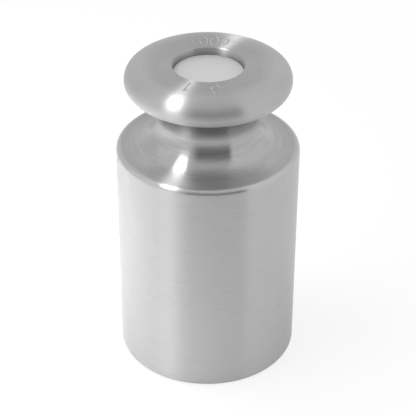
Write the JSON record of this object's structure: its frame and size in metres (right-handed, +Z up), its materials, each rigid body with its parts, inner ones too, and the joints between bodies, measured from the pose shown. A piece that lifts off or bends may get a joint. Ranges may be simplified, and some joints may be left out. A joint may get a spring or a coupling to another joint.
{
  "type": "calibration weight",
  "caption": "Cylindrical stainless reference weight with a round lifting knob, a grooved neck and a sealed adjusting cavity, for checking balances and scales.",
  "frame": {"origin": "centre of the flat face that the weight stands on", "axes": "+Z up along the turning axis, towards the knob; the weight is round about Z, so X and Y are free"},
  "size_m": [0.048, 0.048, 0.0853],
  "materials": {
    "turned_steel": "satin stainless steel with fine turning lines round the axis",
    "plug_brass": "plain machined brass",
    "seal_aluminium": "smooth matt aluminium",
    "shot_steel": "plain steel shot"
  },
  "bodies": {
    "root": {"weight_body": "turned_steel", "cavity_plug": "plug_brass", "seal_disc": "seal_aluminium", "adjusting_shot": "shot_steel"}
  },
  "joints": []
}
